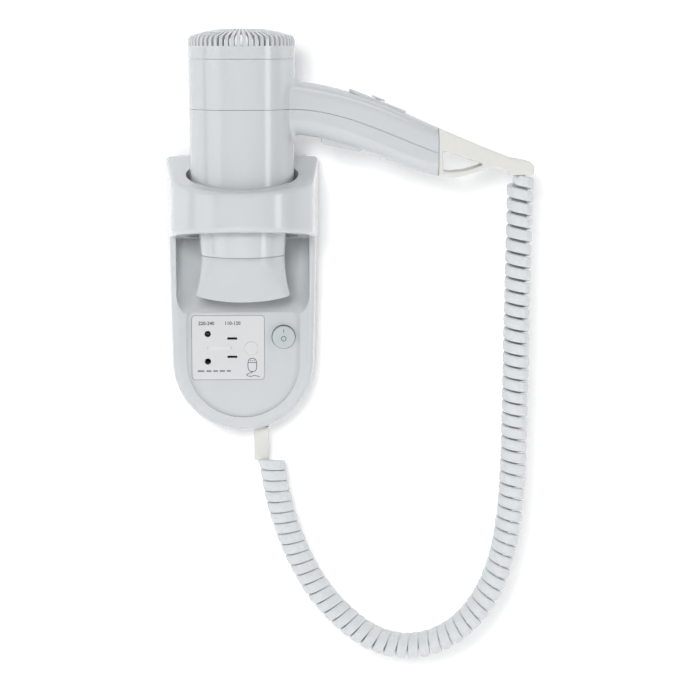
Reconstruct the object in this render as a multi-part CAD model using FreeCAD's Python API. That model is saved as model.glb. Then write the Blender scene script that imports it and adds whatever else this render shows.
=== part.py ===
import FreeCAD, Part
import math
import os

# Wall-mounted hotel hair dryer, millimetres. The wall is the plane Y = 0, the object stands out
# towards -Y, and +Z is up. The origin is the centre of the four wall-screw holes, on the wall.

V = FreeCAD.Vector
PARTS_FOLDER = "parts"

# ---- holder -------------------------------------------------------------------------------
WALL = 2.5                  # moulded wall of the holder
HOLDER_HALF_TOP = 52.2      # half width at the top
HOLDER_HALF_WAIST = 49.6    # half width where the round bottom begins, and the bottom's radius
HOLDER_TOP_Z = 96.0
HOLDER_WAIST_Z = -43.6
HOLDER_CORNER_R = 10.0
SIDE_Y = -16.0              # the sides are square to the wall as far as this
SIDE_DRAFT = 1.9            # and then lean in by this much towards the front
FRONT_Y = -36.0             # front of the lower body
RIM_ROUND = 5.0
DISH_HALF = 45.4            # half width of the dish behind the nozzle
DISH_ROUND = 7.0
DISH_CURVE = [(-15.0, 58.0), (-15.0, 2.0), (-33.5, -0.5), (FRONT_Y - 0.01, -11.0)]
PLATE_THICK = 3.0
PLATE_GAP = 0.3
SCREW_X = 33.0              # wall-screw holes stand at +-SCREW_X, +-SCREW_Z
SCREW_Z = 62.0
SCREW_HOLE_R = 2.25
INLET_X, INLET_Z, INLET_R = -26.0, -34.0, 6.0

# ---- collar that the dryer hangs in -------------------------------------------------------
AXIS_Y = -60.0              # the dryer's barrel stands on this line, at X = 0
COLLAR_R = 48.0
COLLAR_BORE_R = 37.5
COLLAR_TOP_SLOPE = 0.215
COLLAR_UNDER_SLOPE = 0.14
COLLAR_BACK_Z = 39.0        # underside of the collar at the wall side
COLLAR_EDGE_ROUND = 3.5
SEAT_HALF_ANGLE = 55.0      # the pads of the cradle cover this much each side of front and back

# ---- control panel ------------------------------------------------------------------------
PANEL_HALF = 38.8
PANEL_TOP_Z = -9.4
PANEL_WAIST_Z = -43.4
PANEL_DEPTH = 1.8
PANEL_Y = FRONT_Y + PANEL_DEPTH
SOCKET_X0, SOCKET_X1 = -35.5, 14.6
SOCKET_Z0, SOCKET_Z1 = -56.3, -11.7
SOCKET_CORNER_R = 2.6
SEAM = 0.25                 # visible gap between neighbouring mouldings
PIN_X, PIN_MID_Z, PIN_PITCH, PIN_R = -24.4, -34.0, 19.0, 2.2
CONTACT_BORE_R = 1.95       # the sprung contact sleeves close on a 4 mm pin
BLADE_X, BLADE_PITCH, BLADE_LONG, BLADE_HIGH = -7.6, 12.7, 6.7, 1.6
CAP_X, CAP_Z, CAP_R = 5.4, -34.4, 4.6
BUTTON_X, BUTTON_Z, BUTTON_R = 27.6, -26.6, 7.8
BUTTON_PROUD = 3.2
POWER_SWITCH = (8.0, -24.6, -10.5)                # half width, front and back
TRANSFORMER_BOX = (-24.0, 14.0, -81.0, -58.0)     # x and z limits

# ---- cord ---------------------------------------------------------------------------------
SLEEVE_X, SLEEVE_Y, SLEEVE_W = 12.2, -14.0, 10.1
SLEEVE_TOP_Z, SLEEVE_END_Z = -84.0, -115.4
SLEEVE_STEP_Z = -92.0       # inside the holder the sleeve steps down to a neck
COIL_R = 9.0                # outer radius of the curly cord
CORD_ROUTE = [              # middle of the coil, from the hanging boot to the sleeve
    (186.5, -60.0, 84.9), (185.1, -60.0, 9.0), (184.2, -59.0, -66.5), (182.8, -58.4, -112.5),
    (180.2, -57.6, -143.5), (174.7, -56.0, -174.5), (163.8, -53.6, -204.0),
    (148.3, -50.0, -227.0), (129.8, -45.4, -240.6), (109.6, -40.4, -244.9),
    (89.0, -35.4, -239.6), (69.3, -30.4, -226.4), (51.6, -25.8, -207.4), (37.2, -21.6, -182.4),
    (27.0, -18.2, -155.2), (20.1, -16.0, -132.6), (16.0, -14.9, SLEEVE_END_Z),
]

# ---- dryer --------------------------------------------------------------------------------
SHELL = 2.2                 # moulded wall of the dryer
CAP_SEAM_Z = 162.6
MID_SEAM_Z = 129.9
NOZZLE_SEAM_Z = 33.0
CAP_TOP_Z = 182.5
BARREL_TOP_R, BARREL_MID_R, BARREL_LOW_R = 35.3, 35.0, 34.5
TAPER_TOP_Z, TAPER_END_Z = 78.0, 52.0
NECK_TOP_R, NECK_END_R = 29.5, 28.2
SPIGOT_DEEP = 3.5           # how far the neck goes into the nozzle
MOUTH_HALF_X, MOUTH_HALF_Y = 32.65, 7.2
MOUTH_Z = 1.0
LIP_RISE = 4.5              # the mouth's ends stand this much above its middle
SLOT_COUNT = 56
CAP_WALL = 2.0
SHOULDER_Z, SHOULDER_R, BROW_Z = 174.4, 3.4, 178.3
DOME = [(22.9, 180.9), (14.1, 182.2), (0.0, CAP_TOP_Z)]
SLOT_RINGS = [(14.0, 22.2), (23.8, 37.0)]
SLOT_END_Z = 171.3          # the outer slots wrap over the shoulder to this height
SLOT_SHARE = 0.0245         # half a slot's width as a share of its radius
SLOT_CUT = 20.0             # height of the cut, past the top of the cap
SEAT_R = BARREL_TOP_R - CAP_WALL - 0.4        # rim that the cap is pushed on to

# handle: (x, z of the underside, z of the top, full thickness in Y, corner radius)
HANDLE = [
    (30.0, 113.0, 149.2, 31.0, 10.5),
    (52.0, 110.6, 145.8, 31.0, 10.5),
    (79.0, 102.9, 138.6, 30.0, 10.0),
    (105.5, 92.5, 128.4, 28.6, 9.5),
    (130.2, 84.8, 117.4, 27.0, 9.0),
]
HANDLE_END_X = 130.2
BOOT_X = HANDLE_END_X + SEAM
PARTING = [(36.0, MID_SEAM_Z), (52.0, 128.2), (79.0, 120.8), (105.5, 110.5), (138.0, 98.0)]

# slide switch on top of the handle, in a frame tilted to lie on it
SWITCH_X, SWITCH_Z, SWITCH_TILT = 90.0, 134.3, 21.6
SWITCH_LONG, SWITCH_WIDE, SWITCH_PROUD = 40.0, 15.0, 1.5
KNOB_TRAVEL = 5.0           # each way from its middle place
KNOB_PROUD = 1.6            # above the switch plate

# trigger under the handle
TRIGGER_X0, TRIGGER_X1, TRIGGER_WIDE = 52.8, 81.4, 13.4
TRIGGER_PIVOT = (78.6, 107.2)
TRIGGER_PIN_R = 1.2
HANDLE_SCREWS = [(94.0, 99.3), (118.0, 91.0)]   # heads stand in wells in the underside
RUNNING = 0.05              # radial clearance of a pin in its hole


# ---- helpers ------------------------------------------------------------------------------
def save(name, *shapes):
    """Write the pieces of one node to its own file."""
    solids = [s for shape in shapes for s in shape.Solids]
    shape = solids[0] if len(solids) == 1 else Part.makeCompound(solids)
    shape.exportStep(os.path.join(PARTS_FOLDER, name + ".step"))
    return shape


def box(x0, x1, y0, y1, z0, z1):
    return Part.makeBox(x1 - x0, y1 - y0, z1 - z0, V(x0, y0, z0))


def rod(radius, start, end):
    """Cylinder from one point to another."""
    line = end - start
    return Part.makeCylinder(radius, line.Length, start, line)


def upright(radius, z0, z1, x=0.0, y=AXIS_Y):
    return rod(radius, V(x, y, z0), V(x, y, z1))


def tube(outer, inner, z0, z1):
    return upright(outer, z0, z1).cut(upright(inner, z0 - 1, z1 + 1))


def revolved(profile, angle=360.0):
    """Turn a closed outline of (radius, z) points round the barrel's axis."""
    points = [V(r, AXIS_Y, z) for r, z in profile]
    face = Part.Face(Part.makePolygon(points + points[:1]))
    return face.revolve(V(0, AXIS_Y, 0), V(0, 0, 1), angle)


def prism_xz(points, y0, y1):
    """Push an outline of (x, z) points from y0 to y1."""
    corners = [V(x, y0, z) for x, z in points]
    return Part.Face(Part.makePolygon(corners + corners[:1])).extrude(V(0, y1 - y0, 0))


def prism_yz(points, half_width):
    corners = [V(-half_width, y, z) for y, z in points]
    return Part.Face(Part.makePolygon(corners + corners[:1])).extrude(V(2 * half_width, 0, 0))


def arched_wire(half_top, half_waist, top_z, waist_z, corner, y):
    """Outline with rounded top corners, straight sides and a half-round bottom, square to Y."""
    corner = max(corner, 0.8)
    left_foot, right_foot = V(-half_waist, y, waist_z), V(half_waist, y, waist_z)
    left, right = V(-half_top, y, top_z - corner), V(half_top, y, top_z - corner)
    top_left, top_right = V(-half_top + corner, y, top_z), V(half_top - corner, y, top_z)
    part_way = corner * (1 - math.sqrt(0.5))
    mid_left = V(-half_top + part_way, y, top_z - part_way)
    mid_right = V(half_top - part_way, y, top_z - part_way)
    return Part.Wire([
        Part.makeLine(left_foot, left), Part.Arc(left, mid_left, top_left).toShape(),
        Part.makeLine(top_left, top_right), Part.Arc(top_right, mid_right, right).toShape(),
        Part.makeLine(right, right_foot),
        Part.Arc(right_foot, V(0, y, waist_z - half_waist), left_foot).toShape(),
    ])


def holder_wire(inset, y):
    return arched_wire(HOLDER_HALF_TOP - inset, HOLDER_HALF_WAIST - inset, HOLDER_TOP_Z - inset,
                       HOLDER_WAIST_Z, HOLDER_CORNER_R - inset, y)


def rounded_box(x0, x1, y0, y1, z0, z1, radius):
    """Box with its four edges along Y rounded."""
    solid = box(x0, x1, y0, y1, z0, z1)
    edges = [e for e in solid.Edges if abs(e.tangentAt(e.FirstParameter).y) > 0.9]
    return solid.makeFillet(radius, edges)


def edges_at(shape, test):
    """Edges whose middle point passes the test."""
    found = []
    for edge in shape.Edges:
        middle = edge.valueAt((edge.FirstParameter + edge.LastParameter) / 2)
        if test(edge, middle):
            found.append(edge)
    return found


def turned_about_y(shape, degrees, x, z):
    shape = shape.copy()
    shape.rotate(V(0, 0, 0), V(0, 1, 0), degrees)
    shape.translate(V(x, AXIS_Y, z))
    return shape


def coil_spring(radius, wire, z0, z1, turns):
    """Closed-wound rings on a short back rib: the outline of a small compression spring."""
    pitch = (z1 - z0) / (turns - 1)
    rings = [Part.makeTorus(radius, wire, V(0, 0, z0 + pitch * index)) for index in range(turns)]
    rib = rod(wire * 0.9, V(radius, 0, z0), V(radius, 0, z1))
    return rib.fuse(rings)


# ---- holder -------------------------------------------------------------------------------
def holder_block(inset, front):
    """Tombstone-shaped block from the wall to `front`, square at first and then leaning in."""
    lean = SIDE_DRAFT * (SIDE_Y - front) / (SIDE_Y - FRONT_Y)
    back_y = 0.0 if inset == 0 else 2.0
    square = Part.makeLoft([holder_wire(inset, back_y), holder_wire(inset, SIDE_Y)], True, True)
    leaning = Part.makeLoft([holder_wire(inset, SIDE_Y), holder_wire(inset + lean, front)], True, True)
    return square.fuse(leaning).removeSplitter()


def dish(shift, half_width, rounding):
    """What is hollowed out of the block behind and below the nozzle."""
    poles = [V(-half_width, y + shift, z - shift) for y, z in DISH_CURVE]
    curve = Part.BezierCurve()
    curve.setPoles(poles)
    start, end = poles[0], poles[-1]
    out_y = FRONT_Y - 20
    corners = [end, V(-half_width, out_y, end.z), V(-half_width, out_y, start.z), start]
    edges = [Part.makeLine(a, b) for a, b in zip(corners, corners[1:])]
    face = Part.Face(Part.Wire([curve.toShape()] + edges))
    solid = face.extrude(V(2 * half_width, 0, 0))
    if rounding:
        along = edges_at(solid, lambda e, m: e.Curve.TypeId == "Part::GeomBezierCurve"
                         or e.Curve.TypeId == "Part::GeomBSplineCurve")
        solid = solid.makeFillet(rounding, along)
    return solid


def collar_block(inset):
    """D-shaped in plan, with straight sides, a half-round front, and a sloping top and underside."""
    half, radius = HOLDER_HALF_TOP - inset, COLLAR_R - inset
    centre, corner = V(0, AXIS_Y, 0), V(half, SIDE_Y + inset, 0)
    reach = corner - centre
    tangent_angle = math.atan2(reach.y, reach.x) - math.acos(radius / reach.Length)
    touch = centre + V(math.cos(tangent_angle), math.sin(tangent_angle), 0) * radius
    left_touch, left_corner = V(-touch.x, touch.y, 0), V(-corner.x, corner.y, 0)
    edges = [Part.makeLine(corner, touch),
             Part.Arc(touch, V(0, AXIS_Y - radius, 0), left_touch).toShape(),
             Part.makeLine(left_touch, left_corner), Part.makeLine(left_corner, corner)]
    column = Part.Face(Part.Wire(edges)).extrude(V(0, 0, 200))
    top, under = HOLDER_TOP_Z - inset, COLLAR_BACK_Z + inset
    near, far = SIDE_Y + 5, AXIS_Y - COLLAR_R - 5
    side = [(y, top + COLLAR_TOP_SLOPE * (y - SIDE_Y)) for y in (near, far)]
    side += [(y, under - COLLAR_UNDER_SLOPE * (y - SIDE_Y)) for y in (far, near)]
    return column.common(prism_yz(side, 80))


def make_holder_shell():
    block = holder_block(0, FRONT_Y)
    front_rim = edges_at(block, lambda e, m: abs(m.y - FRONT_Y) < 0.01)
    block = block.makeFillet(RIM_ROUND, front_rim)
    block = block.cut(dish(0, DISH_HALF, DISH_ROUND))
    # behind the collar only the square back of the block stays
    block = block.cut(box(-80, 80, FRONT_Y - 5, SIDE_Y, 56, 120))
    collar = collar_block(0)
    rounded = edges_at(collar, lambda e, m: m.y < SIDE_Y - 5
                       and abs(e.tangentAt(e.FirstParameter).z) < 0.5)
    collar = collar.makeFillet(COLLAR_EDGE_ROUND, rounded)
    solid = block.fuse(collar)

    inner = holder_block(WALL, PANEL_Y + WALL).cut(dish(WALL, 80, 0))
    inner = inner.cut(box(-80, 80, FRONT_Y - 5, SIDE_Y + WALL, 30, 120))
    inner = inner.fuse(collar_block(WALL).cut(upright(COLLAR_BORE_R + WALL, 0, 200)))
    solid = solid.cut(inner).cut(upright(COLLAR_BORE_R, 30, 200))

    recess = Part.Face(arched_wire(PANEL_HALF, PANEL_HALF, PANEL_TOP_Z, PANEL_WAIST_Z, 4.0, FRONT_Y - 2))
    solid = solid.cut(recess.extrude(V(0, 2 + PANEL_DEPTH, 0)))
    window = rounded_box(SOCKET_X0, SOCKET_X1, FRONT_Y - 2, PANEL_Y + WALL + 1, SOCKET_Z0, SOCKET_Z1,
                         SOCKET_CORNER_R)
    solid = solid.cut(window)
    button_hole = rod(BUTTON_R + 0.45, V(BUTTON_X, FRONT_Y - 2, BUTTON_Z), V(BUTTON_X, -20, BUTTON_Z))
    solid = solid.cut(button_hole)
    half = SLEEVE_W / 2
    solid = solid.cut(box(SLEEVE_X - half, SLEEVE_X + half, SLEEVE_Y - half, SLEEVE_Y + half, -120, -80))
    return save("holder_shell", solid)


def make_wall_plate():
    plate = Part.Face(holder_wire(WALL + PLATE_GAP, 0)).extrude(V(0, -PLATE_THICK, 0))
    for x in (-SCREW_X, SCREW_X):
        for z in (-SCREW_Z, SCREW_Z):
            plate = plate.cut(rod(SCREW_HOLE_R, V(x, 1, z), V(x, -10, z)))
    plate = plate.cut(rod(INLET_R, V(INLET_X, 1, INLET_Z), V(INLET_X, -10, INLET_Z)))
    post = rod(3.6, V(CAP_X, -PLATE_THICK, CAP_Z), V(CAP_X, -16.0, CAP_Z))
    post = post.cut(rod(1.45, V(CAP_X, -6, CAP_Z), V(CAP_X, -17, CAP_Z)))
    save("wall_plate", plate.fuse(post))


def make_wall_screws():
    screws = []
    for x in (-SCREW_X, SCREW_X):
        for z in (-SCREW_Z, SCREW_Z):
            head = rod(4.0, V(x, -PLATE_THICK, z), V(x, -PLATE_THICK - 2.6, z))
            cross = box(x - 2.0, x + 2.0, -PLATE_THICK - 3, -PLATE_THICK - 1.6, z - 0.4, z + 0.4)
            screws.append(head.cut(cross).cut(turned_copy(cross, x, z)))
    return screws


def turned_copy(shape, x, z):
    """The same shape a quarter turn round a line along Y."""
    shape = shape.copy()
    shape.rotate(V(x, 0, z), V(0, 1, 0), 90)
    return shape


def make_socket():
    back_y = PANEL_Y + 3.0
    insert = rounded_box(SOCKET_X0 + SEAM, SOCKET_X1 - SEAM, PANEL_Y, back_y,
                         SOCKET_Z0 + SEAM, SOCKET_Z1 - SEAM, SOCKET_CORNER_R - SEAM)
    carrier = box(-32.0, -1.0, back_y, back_y + 12.0, -53.0, -19.0)
    hollow = box(-30.4, -2.6, back_y, back_y + 13.0, -51.4, -20.6)
    boss = rod(4.4, V(CAP_X, back_y, CAP_Z), V(CAP_X, -16.2, CAP_Z))
    insert = insert.fuse(carrier.cut(hollow)).fuse(boss)
    contacts = []
    for sign in (-1, 1):
        z = PIN_MID_Z + sign * PIN_PITCH / 2
        insert = insert.cut(rod(PIN_R, V(PIN_X, FRONT_Y, z), V(PIN_X, back_y + 1, z)))
        sleeve = rod(3.3, V(PIN_X, back_y + 0.4, z), V(PIN_X, back_y + 10.5, z))
        contacts.append(sleeve.cut(rod(CONTACT_BORE_R, V(PIN_X, back_y, z), V(PIN_X, back_y + 11, z))))
        z = PIN_MID_Z + sign * BLADE_PITCH / 2
        x0, x1 = BLADE_X - BLADE_LONG / 2, BLADE_X + BLADE_LONG / 2
        insert = insert.cut(box(x0, x1, FRONT_Y, back_y + 1, z - BLADE_HIGH / 2, z + BLADE_HIGH / 2))
        for side in (-1, 1):
            leaf = box(x0, x1, back_y + 0.4, back_y + 10.5, z - 0.4, z + 0.4)
            leaf.translate(V(0, 0, side * 1.6))
            contacts.append(leaf)
    insert = insert.cut(rod(CAP_R + 0.1, V(CAP_X, FRONT_Y, CAP_Z), V(CAP_X, PANEL_Y + 1.2, CAP_Z)))
    insert = insert.cut(rod(3.2, V(CAP_X, FRONT_Y, CAP_Z), V(CAP_X, PANEL_Y + 3.6, CAP_Z)))
    insert = insert.cut(rod(1.7, V(CAP_X, FRONT_Y, CAP_Z), V(CAP_X, -10, CAP_Z)))
    save("socket_insert", insert)
    save("socket_contacts", *contacts)
    save("screw_cap", rod(CAP_R, V(CAP_X, PANEL_Y - 0.1, CAP_Z), V(CAP_X, PANEL_Y + 1.1, CAP_Z)))
    head = rod(3.0, V(CAP_X, PANEL_Y + 1.3, CAP_Z), V(CAP_X, PANEL_Y + 3.6, CAP_Z))
    shank = rod(1.45, V(CAP_X, PANEL_Y + 3.6, CAP_Z), V(CAP_X, -6.5, CAP_Z))
    save("cover_screw", head.fuse(shank))


def make_power_button():
    face_y = PANEL_Y - BUTTON_PROUD
    cap = rod(BUTTON_R, V(BUTTON_X, face_y, BUTTON_Z), V(BUTTON_X, PANEL_Y + 2.2, BUTTON_Z))
    cap = cap.makeFillet(0.8, edges_at(cap, lambda e, m: abs(m.y - face_y) < 0.01
                                       and len(e.Vertexes) == 1))
    stem = rod(2.4, V(BUTTON_X, PANEL_Y + 2.2, BUTTON_Z), V(BUTTON_X, -26.5, BUTTON_Z))
    save("power_button", cap.fuse(stem))
    half, front_y, back_y = POWER_SWITCH
    switch = box(BUTTON_X - half, BUTTON_X + half, front_y, back_y, BUTTON_Z - half, BUTTON_Z + half)
    well = rod(2.8, V(BUTTON_X, -30, BUTTON_Z), V(BUTTON_X, -20.0, BUTTON_Z))
    save("power_switch", switch.cut(well))
    legs = [box(x - 0.4, x + 0.4, back_y, back_y + 4.5, z - 1.5, z + 1.5)
            for x in (BUTTON_X - 5, BUTTON_X + 5) for z in (BUTTON_Z - 4, BUTTON_Z + 4)]
    save("switch_terminals", *legs)
    spring = coil_spring(4.2, 0.35, 0.0, 6.4, 4)
    spring.rotate(V(0, 0, 0), V(1, 0, 0), -90)
    spring.translate(V(BUTTON_X, PANEL_Y + 2.7, BUTTON_Z))
    save("button_spring", spring)


def make_holder_inside():
    """Isolating transformer for the shaver socket, mains terminals and the cord's clamp."""
    x0, x1, z0, z1 = TRANSFORMER_BOX
    core = box(x0, x1, -27.5, -5.0, z0, z1)
    leg, yoke = (x1 - x0) / 6, 4.5
    middle = (x0 + x1) / 2
    windows = [box(start, start + leg, -30, -3, z0 + yoke, z1 - yoke)
               for start in (middle - leg * 2, middle + leg)]
    core = core.cut(windows)
    save("transformer_core", core)
    bobbin = box(x0 + leg + 0.2, x1 - leg - 0.2, -29.5, -3.4, z0 + yoke + 0.2, z1 - yoke - 0.2)
    save("transformer_winding", bobbin.cut(core))
    terminals = box(-44.5, -34.0, -15.0, -PLATE_THICK, -30.0, -6.0)
    for z in (-26.0, -18.0, -10.0):
        terminals = terminals.cut(rod(2.0, V(-39.2, -16, z), V(-39.2, -8, z)))
    save("mains_terminal_block", terminals)
    save("cord_clamp", box(4.0, 18.0, SLEEVE_Y - 6.2, SLEEVE_Y - 3.6, -86.0, -82.5))


def make_cord_sleeve():
    half = SLEEVE_W / 2
    body = box(SLEEVE_X - half, SLEEVE_X + half, SLEEVE_Y - half, SLEEVE_Y + half,
               SLEEVE_END_Z, SLEEVE_STEP_Z)
    upright_edges = edges_at(body, lambda e, m: abs(e.tangentAt(e.FirstParameter).z) > 0.9)
    body = body.makeFillet(1.4, upright_edges)
    half -= 1.6
    flange = box(SLEEVE_X - half, SLEEVE_X + half, SLEEVE_Y - half, SLEEVE_Y + half,
                 SLEEVE_STEP_Z, SLEEVE_TOP_Z)
    save("cord_sleeve", body.fuse(flange))


# ---- cradle -------------------------------------------------------------------------------
def sector(half_angle, z0, z1, radius, towards):
    """Pie-shaped block about the barrel's axis; `towards` is -1 for the front and +1 for the wall."""
    start = math.radians(90 * towards - half_angle)
    end = math.radians(90 * towards + half_angle)
    centre = V(0, AXIS_Y, z0)
    rim = [centre + V(math.cos(a), math.sin(a), 0) * radius for a in (start, (start + end) / 2, end)]
    wire = Part.Wire([Part.makeLine(centre, rim[0]), Part.Arc(*rim).toShape(),
                      Part.makeLine(rim[2], centre)])
    return Part.Face(wire).extrude(V(0, 0, z1 - z0))


def make_cradle():
    """Two soft pads that fill the collar's bore at front and back and carry the barrel's taper."""
    gap = 0.5
    profile = [(COLLAR_BORE_R, 54.0), (COLLAR_BORE_R, 92.0), (BARREL_LOW_R + 1.1, 92.0),
               (BARREL_LOW_R + 1.1, TAPER_TOP_Z + 0.6), (NECK_TOP_R + 1.0 + gap, 54.0)]
    ring = revolved(profile)
    slope = prism_yz([(10, HOLDER_TOP_Z - 1.2), (-20, HOLDER_TOP_Z - 1.2),
                      (-120, HOLDER_TOP_Z - 1.2 - 100 * COLLAR_TOP_SLOPE), (-120, 0), (10, 0)], 80)
    for name, towards in (("front_cradle_pad", -1), ("back_cradle_pad", 1)):
        pad = ring.common(sector(SEAT_HALF_ANGLE, 40, 100, 60, towards)).common(slope)
        save(name, pad)


# ---- dryer casing -------------------------------------------------------------------------
def barrel_profile(inset):
    past = 1 if inset else 0
    low_z, high_z = NOZZLE_SEAM_Z - past, CAP_SEAM_Z + past
    return [(0, low_z), (NECK_END_R - inset, low_z), (NECK_TOP_R - inset, TAPER_END_Z),
            (BARREL_LOW_R - inset, TAPER_TOP_Z), (BARREL_MID_R - inset, MID_SEAM_Z),
            (BARREL_TOP_R - inset, high_z), (0, high_z)]


def handle_section(x, low, high, thick, corner):
    """Rounded rectangle square to X."""
    half, y = thick / 2, AXIS_Y
    part_way = corner * (1 - math.sqrt(0.5))
    edges = []
    corners = [(half, high), (half, low), (-half, low), (-half, high)]
    for index, (dy, z) in enumerate(corners):
        sy = 1 if dy > 0 else -1
        sz = 1 if z == high else -1
        along_z = V(x, y + dy, z - sz * corner)
        along_y = V(x, y + dy - sy * corner, z)
        middle = V(x, y + dy - sy * part_way, z - sz * part_way)
        first, last = (along_y, along_z) if index % 2 == 0 else (along_z, along_y)
        edges.append(Part.Arc(first, middle, last).toShape())
    joined = []
    for index, edge in enumerate(edges):
        following = edges[(index + 1) % 4]
        joined += [edge, Part.makeLine(edge.Vertexes[-1].Point, following.Vertexes[0].Point)]
    return Part.Wire(joined)


def handle_block(inset):
    wires = []
    for x, low, high, thick, corner in HANDLE:
        wires.append(handle_section(x, low + inset, high - inset, thick - 2 * inset, corner - inset))
    return Part.makeLoft(wires, True, False)


def parting_block(drop):
    """Everything above the joint between the rear and front mouldings, lowered by `drop`."""
    curve = Part.BSplineCurve()
    curve.interpolate([V(x, -110, z - drop) for x, z in PARTING], False)
    first, last = curve.StartPoint, curve.EndPoint
    rest = [last, V(200, -110, last.z - 20), V(200, -110, 200), V(-60, -110, 200),
            V(-60, -110, MID_SEAM_Z - drop), first]
    edges = [curve.toShape()] + [Part.makeLine(a, b) for a, b in zip(rest, rest[1:])]
    return Part.Face(Part.Wire(edges)).extrude(V(0, 100, 0))


def tilted(shape):
    """Place a shape drawn about the slide switch's own centre."""
    return turned_about_y(shape, SWITCH_TILT, SWITCH_X, SWITCH_Z)


def rounded_plate(half_long, half_wide, low, high):
    """Flat plate about its own centre with rounded corners."""
    plate = box(-half_long, half_long, -half_wide, half_wide, low, high)
    return plate.makeFillet(3.0, edges_at(plate, lambda e, m: abs(e.tangentAt(e.FirstParameter).z) > 0.9))


def make_casing():
    outer = revolved(barrel_profile(0)).fuse(handle_block(0))
    join = edges_at(outer, lambda e, m: 25 < m.x < 45 and 105 < m.z < 155 and e.Length > 5
                    and abs(math.hypot(m.x, m.y - AXIS_Y) - BARREL_MID_R) < 0.6)
    outer = outer.makeFillet(3.0, join)
    handle_hollow = handle_block(SHELL).common(box(28, 140, -90, -30, 60, 160))
    inner = revolved(barrel_profile(SHELL)).fuse(handle_hollow)
    open_end = box(HANDLE_END_X - 0.01, 150, -100, 0, 60, 140)
    shell = outer.cut(inner).cut(open_end)
    shell = shell.cut(tilted(box(-SWITCH_LONG / 2 + 2, SWITCH_LONG / 2 - 2, -5.2, 5.2, -8, 8)))
    half = TRIGGER_WIDE / 2 + 0.4
    shell = shell.cut(box(TRIGGER_X0 - 0.5, TRIGGER_X1 + 0.5, AXIS_Y - half, AXIS_Y + half, 90, 114))
    for x, z in HANDLE_SCREWS:
        shell = shell.cut(rod(2.6, V(x, AXIS_Y, z - 12), V(x, AXIS_Y, z)))
    upper = parting_block(0)
    rear = shell.common(upper)
    front = shell.cut(parting_block(SEAM))
    rear = rear.cut(tilted(rounded_plate(SWITCH_LONG / 2 + 0.05, SWITCH_WIDE / 2 + 0.05, -0.42, 6.0)))
    seat = tube(BARREL_TOP_R - SHELL + 0.1, SEAT_R - 1.4, CAP_SEAM_Z - 3, CAP_SEAM_Z)
    seat = seat.fuse(tube(SEAT_R, SEAT_R - 1.4, CAP_SEAM_Z - 1, CAP_SEAM_Z + 2.4))
    save("rear_housing", rear.fuse(seat))
    lip = tube(BARREL_MID_R - 1.2, BARREL_MID_R - 2.6, MID_SEAM_Z - 4, MID_SEAM_Z - SEAM - 0.4)
    spigot = tube(NECK_END_R - 0.9, NECK_END_R - 2.4, NOZZLE_SEAM_Z - SPIGOT_DEEP, NOZZLE_SEAM_Z + 2)
    save("front_housing", front.fuse(lip.cut(handle_block(0))).fuse(spigot))


# ---- intake cap ---------------------------------------------------------------------------
def cap_profile(inset):
    """Half section of the domed cap: a skirt, a tight round shoulder and a low dome."""
    base = CAP_SEAM_Z + (SEAM if inset == 0 else -1)
    shoulder_z, brow_z = SHOULDER_Z - inset * 0.4, BROW_Z - inset
    radius = BARREL_TOP_R - inset
    shoulder = []
    for step in range(9):
        angle = math.radians(90 * step / 8)
        shoulder.append((radius - SHOULDER_R * (1 - math.cos(angle)),
                         shoulder_z + (brow_z - shoulder_z) * math.sin(angle)))
    dome = [(r, z - inset) for r, z in DOME]
    return [(0, base), (radius, base)] + shoulder + dome


def air_slot(ring_inner, ring_outer):
    """A slot that widens outwards, cut from above."""
    inner, outer = SLOT_SHARE * ring_inner, SLOT_SHARE * ring_outer
    corners = [V(ring_inner, -inner, SLOT_END_Z), V(ring_outer, -outer, SLOT_END_Z),
               V(ring_outer, outer, SLOT_END_Z), V(ring_inner, inner, SLOT_END_Z)]
    return Part.Face(Part.makePolygon(corners + corners[:1])).extrude(V(0, 0, SLOT_CUT))


def make_intake_cap():
    cap = revolved(cap_profile(0)).cut(revolved(cap_profile(CAP_WALL)))
    slots = []
    for ring_inner, ring_outer in SLOT_RINGS:
        for index in range(SLOT_COUNT):
            slot = air_slot(ring_inner, ring_outer)
            slot.rotate(V(0, 0, 0), V(0, 0, 1), 360.0 * index / SLOT_COUNT)
            slot.translate(V(0, AXIS_Y, 0))
            slots.append(slot)
    save("intake_cap", cap.cut(Part.makeCompound(slots)))


def make_filter():
    outer = SEAT_R - 1.5
    rim = tube(outer, outer - 2.0, CAP_SEAM_Z - 1.6, CAP_SEAM_Z + 1.4)
    mesh = upright(outer - 1.0, CAP_SEAM_Z - 0.2, CAP_SEAM_Z + 0.3)
    save("lint_filter", rim.fuse(mesh))


# ---- nozzle -------------------------------------------------------------------------------
def ellipse_like(half_x, half_y, z, power):
    """Closed curve between a circle and a rounded slot."""
    points = []
    for step in range(24):
        angle = 2 * math.pi * step / 24
        c, s = math.cos(angle), math.sin(angle)
        x = half_x * math.copysign(abs(c) ** (2 / power), c)
        y = half_y * math.copysign(abs(s) ** (2 / power), s)
        points.append(V(x, AXIS_Y + y, z))
    curve = Part.BSplineCurve()
    curve.interpolate(points, True)
    return Part.Wire(curve.toShape())


def nozzle_block(inset):
    extra = 2.0 if inset else 0.0
    rows = [(NECK_END_R - 0.1, NECK_END_R - 0.1, NOZZLE_SEAM_Z - SEAM + extra, 2.0),
            (NECK_END_R, NECK_END_R - 0.05, NOZZLE_SEAM_Z - SPIGOT_DEEP - 1.5, 2.0),
            (28.8, 23.0, 20.5, 2.15), (29.7, 16.6, 13.5, 2.4), (31.2, 10.6, 6.5, 2.8),
            (MOUTH_HALF_X, MOUTH_HALF_Y, MOUTH_Z - 2.0 - extra, 3.2)]
    wires = [ellipse_like(a - inset, b - inset, z, p) for a, b, z, p in rows]
    return Part.makeLoft(wires, True, False)


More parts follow.
